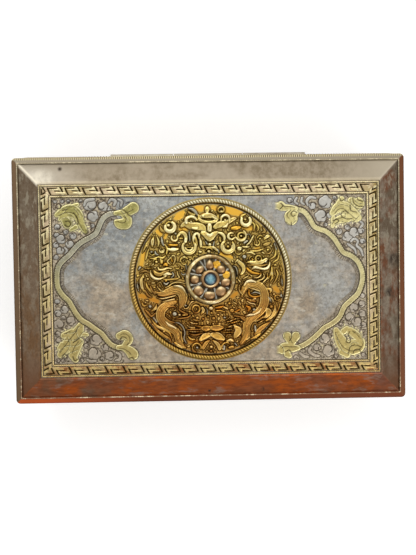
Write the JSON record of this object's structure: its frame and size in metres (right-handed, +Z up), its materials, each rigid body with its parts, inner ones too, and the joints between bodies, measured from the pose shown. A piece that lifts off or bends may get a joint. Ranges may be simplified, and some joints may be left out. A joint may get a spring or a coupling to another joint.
{
  "type": "betel box",
  "caption": "Rectangular hinged betel box of silvered copper with a bevelled lid, gilt fretwork border and a domed medallion set with a turquoise.",
  "frame": {"origin": "middle of the underside of the base plate, where the box rests", "axes": "+X along the length to the viewer's right, +Y towards the hinge at the back, +Z up through the lid"},
  "size_m": [0.1762, 0.1123, 0.0619],
  "materials": {
    "silvered_copper": "worn silvering over raised copper sheet",
    "silvered_field": "silvered copper, burnished and scratched",
    "gilt_copper": "mercury gilding, dark in the recesses",
    "red_copper": "gilding worn to bare copper",
    "copper": "bare copper, dulled by handling",
    "turquoise_stone": "polished cabochon"
  },
  "bodies": {
    "box": {"base_plate": "copper", "body_wall": "silvered_copper", "foot_rope": "silvered_copper", "body_mouth_rope": "silvered_copper", "inner_collar": "copper", "hinge_knuckle_left": "silvered_copper", "hinge_knuckle_right": "silvered_copper", "hinge_pin": "silvered_copper"},
    "lid": {"hinge_knuckle_middle": "silvered_copper", "lid_skirt": "silvered_copper", "lid_rim_rope": "silvered_copper", "lid_ledge": "silvered_copper", "ledge_bead_wire": "silvered_copper", "lid_bevel": "silvered_copper", "lid_panel": "silvered_field", "border_outer_lines": "gilt_copper", "fret_border": "gilt_copper", "border_inner_lines": "gilt_copper", "medallion_disc": "gilt_copper", "medallion_rim": "gilt_copper", "wheel_ring": "red_copper", "wheel_petal_1": "red_copper", "wheel_petal_2": "red_copper", "wheel_petal_3": "red_copper", "wheel_petal_4": "red_copper", "wheel_petal_5": "red_copper", "wheel_petal_6": "red_copper", "wheel_petal_7": "red_copper", "wheel_petal_8": "red_copper", "stone_collet": "red_copper", "turquoise": "turquoise_stone"}
  },
  "joints": [
    {"name": "lid_hinge", "type": "hinge", "parent": "box", "child": "lid", "pos_m": [0, 0.05485, 0.044], "axis": [-1, 0, 0], "range_deg": [0, 145]}
  ]
}
